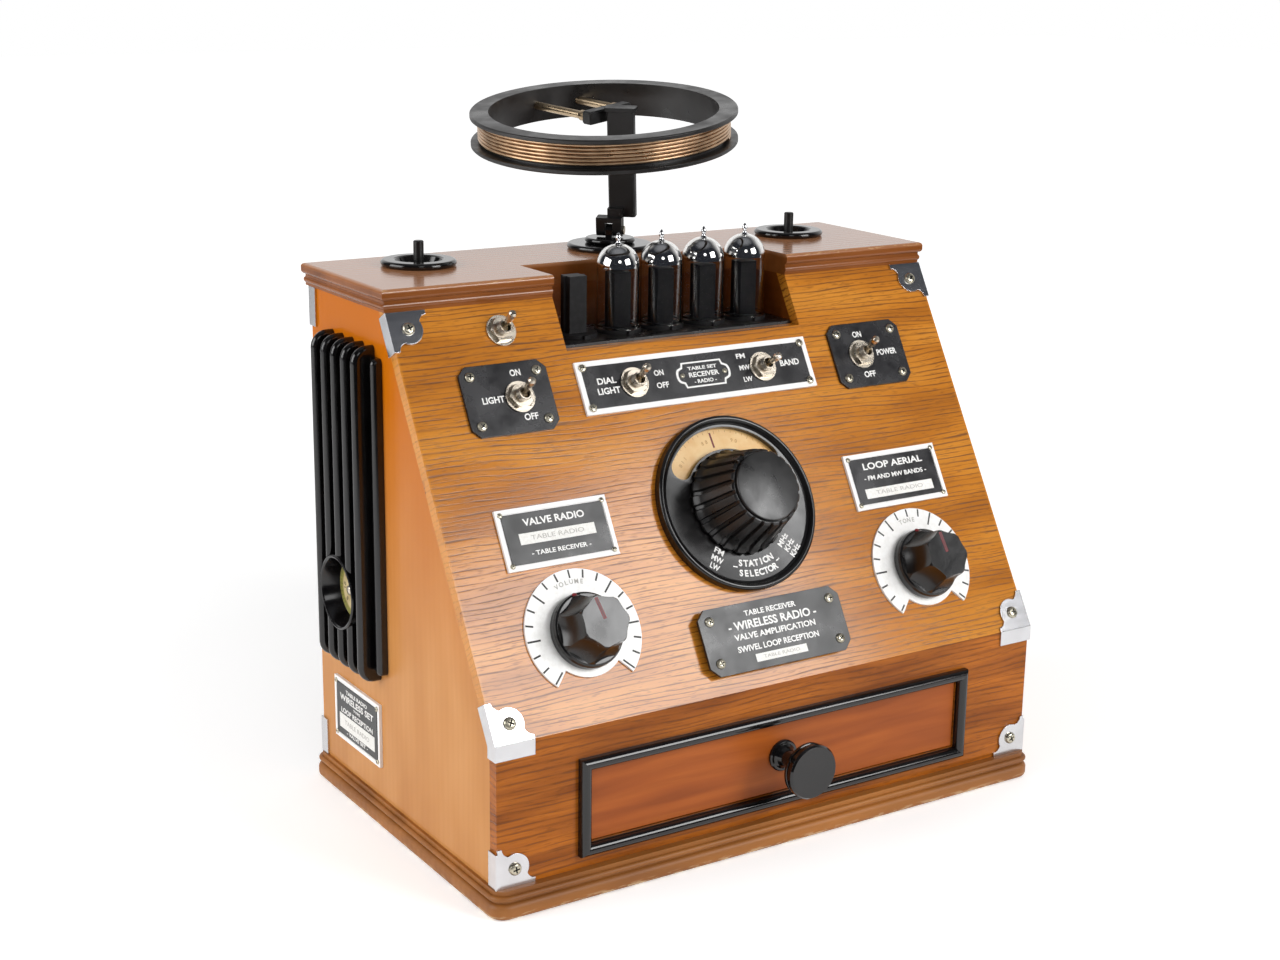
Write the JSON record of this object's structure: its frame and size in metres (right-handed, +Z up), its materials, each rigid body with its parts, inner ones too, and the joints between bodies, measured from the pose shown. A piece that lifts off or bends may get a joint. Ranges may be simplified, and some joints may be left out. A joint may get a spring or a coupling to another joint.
{
  "type": "table radio receiver",
  "caption": "Wooden table radio with a sloping control front, open valve bay, drawer, side grille with a gauge and a swivelling, tilting loop aerial.",
  "frame": {"origin": "centre of the cabinet's base where it stands on the table", "axes": "+Z up, -Y out of the front, +X to the right as seen from the front"},
  "size_m": [0.3246, 0.2354, 0.3463],
  "materials": {
    "oak_veneer": "satin varnish",
    "dark_wood": "satin varnish",
    "drawer_veneer": "satin varnish",
    "plain_wood": "raw",
    "black_gloss": "gloss",
    "black_spool": "gloss",
    "black_deck": "matte",
    "valve_core": "matte",
    "clear_glass": "clear",
    "zinc_plate": "plated",
    "switch_metal": "plated",
    "black_plate": "satin",
    "name_plate": "satin",
    "long_plate": "satin",
    "dial_cream": "satin",
    "brass": "turned",
    "steel": "plated",
    "white_scale": "satin",
    "gauge_brass": "satin",
    "pointer_black": "satin",
    "speaker_grey": "matte",
    "terminal_post": "dark",
    "rod_metal": "satin",
    "copper_wire": "enamelled"
  },
  "bodies": {
    "cabinet": {"base_plinth": "dark_wood", "side_panel_left": "oak_veneer", "side_panel_right": "oak_veneer", "slope_panel": "oak_veneer", "lower_panel": "oak_veneer", "rear_cover": "dark_wood", "top_lid": "dark_wood", "valve_bay": "dark_wood", "valve_deck": "black_deck", "valve_cores": "valve_core", "valve_glass_1": "clear_glass", "valve_glass_2": "clear_glass", "valve_glass_3": "clear_glass", "valve_glass_4": "clear_glass", "terminal_rings": "black_gloss", "terminal_posts": "terminal_post", "top_corners": "zinc_plate", "bend_corners": "zinc_plate", "foot_corners": "zinc_plate", "rear_corners": "zinc_plate", "face_screws": "zinc_plate", "light_plate": "black_plate", "power_plate": "black_plate", "band_plate": "black_plate", "left_nameplate": "name_plate", "right_nameplate": "name_plate", "centre_plate": "long_plate", "side_nameplate": "name_plate", "switch_bushings": "switch_metal", "tuning_escutcheon": "black_gloss", "tuning_gang": "steel", "control_scales": "white_scale", "control_pots": "steel", "side_grille": "black_gloss", "gauge_cup": "gauge_brass", "loudspeaker": "speaker_grey", "receiver_chassis": "steel", "drawer_frame": "black_gloss", "drawer_housing": "plain_wood", "aerial_base": "black_gloss"},
    "drawer": {"drawer_box": "plain_wood", "drawer_front": "drawer_veneer", "drawer_pull": "black_gloss"},
    "tuning": {"tuning_knob": "black_gloss", "tuning_shaft": "brass", "dial_disc": "dial_cream"},
    "volume": {"volume_knob": "black_gloss"},
    "tone": {"tone_knob": "black_gloss"},
    "main_switch": {"main_lever": "switch_metal"},
    "light_switch": {"light_lever": "switch_metal"},
    "dial_switch": {"dial_lever": "switch_metal"},
    "band_switch": {"band_lever": "switch_metal"},
    "power_switch": {"power_lever": "switch_metal"},
    "needle": {"gauge_pointer": "pointer_black"},
    "turntable": {"aerial_turntable": "black_gloss"},
    "aerial_head": {"knuckle_pin": "zinc_plate", "aerial_arm": "black_gloss", "aerial_rods": "rod_metal", "aerial_spool": "black_spool", "aerial_winding": "copper_wire"}
  },
  "joints": [
    {"name": "drawer_slide", "type": "slide", "parent": "cabinet", "child": "drawer", "axis": [0, -1, 0], "range_m": [0, 0.105]},
    {"name": "tuning_turn", "type": "hinge", "parent": "cabinet", "child": "tuning", "pos_m": [0, -0.0471, 0.15698], "axis": [0, -0.8634, 0.5045], "range_deg": [-90, 90]},
    {"name": "volume_turn", "type": "hinge", "parent": "cabinet", "child": "volume", "pos_m": [-0.0985, -0.07056, 0.11683], "axis": [0, -0.8634, 0.5045], "range_deg": [-146, 124]},
    {"name": "tone_turn", "type": "hinge", "parent": "cabinet", "child": "tone", "pos_m": [0.0985, -0.07056, 0.11683], "axis": [0, -0.8634, 0.5045], "range_deg": [-140, 130]},
    {"name": "main_throw", "type": "hinge", "parent": "cabinet", "child": "main_switch", "pos_m": [-0.0996, 0, 0.24354], "axis": [1, 0, 0], "range_deg": [0, 26]},
    {"name": "light_throw", "type": "hinge", "parent": "cabinet", "child": "light_switch", "pos_m": [-0.0996, -0.01794, 0.2158], "axis": [1, 0, 0], "range_deg": [0, 26]},
    {"name": "dial_throw", "type": "hinge", "parent": "cabinet", "child": "dial_switch", "pos_m": [-0.0375, -0.01794, 0.2158], "axis": [1, 0, 0], "range_deg": [0, 26]},
    {"name": "band_throw", "type": "hinge", "parent": "cabinet", "child": "band_switch", "pos_m": [0.0375, -0.01794, 0.2158], "axis": [1, 0, 0], "range_deg": [-13, 13]},
    {"name": "power_throw", "type": "hinge", "parent": "cabinet", "child": "power_switch", "pos_m": [0.0996, -0.01794, 0.2158], "axis": [1, 0, 0], "range_deg": [0, 26]},
    {"name": "needle_turn", "type": "hinge", "parent": "cabinet", "child": "needle", "pos_m": [-0.1545, 0.046, 0.1135], "axis": [-1, 0, 0], "range_deg": [-155, 115]},
    {"name": "aerial_swivel", "type": "hinge", "parent": "cabinet", "child": "turntable", "pos_m": [0, 0.068, 0.2646], "axis": [0, 0, 1], "continuous": true},
    {"name": "aerial_tilt", "type": "hinge", "parent": "turntable", "child": "aerial_head", "pos_m": [0, 0.068, 0.274], "axis": [0.7193, -0.6947, 0], "range_deg": [-35, 20]}
  ]
}
